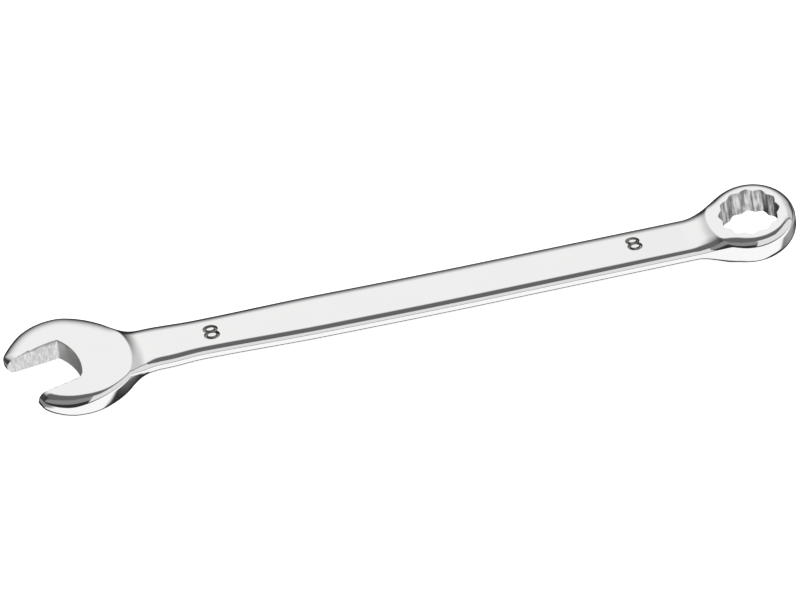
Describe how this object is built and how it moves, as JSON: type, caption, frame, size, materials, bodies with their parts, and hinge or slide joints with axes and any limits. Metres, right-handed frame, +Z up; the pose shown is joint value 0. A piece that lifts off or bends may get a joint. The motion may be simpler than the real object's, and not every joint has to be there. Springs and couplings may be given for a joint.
{
  "type": "combination wrench",
  "caption": "Small chrome-plated combination wrench: an angled open jaw at one end and a tilted twelve-point ring at the other, joined by a flat shank.",
  "frame": {"origin": "where the centre line of the open jaw crosses the centre line of the shank, half way through the thickness of the open head", "axes": "+X along the shank from the open jaw to the ring, +Y across the shank, +Z up, towards the side that the ring leans to"},
  "size_m": [0.1214, 0.0183, 0.0074],
  "materials": {
    "chrome_plate": "mirror-polished chrome plate on a drop forging, brighter machined jaw flats and broached ring"
  },
  "bodies": {
    "root": {"wrench_body": "chrome_plate"}
  },
  "joints": []
}
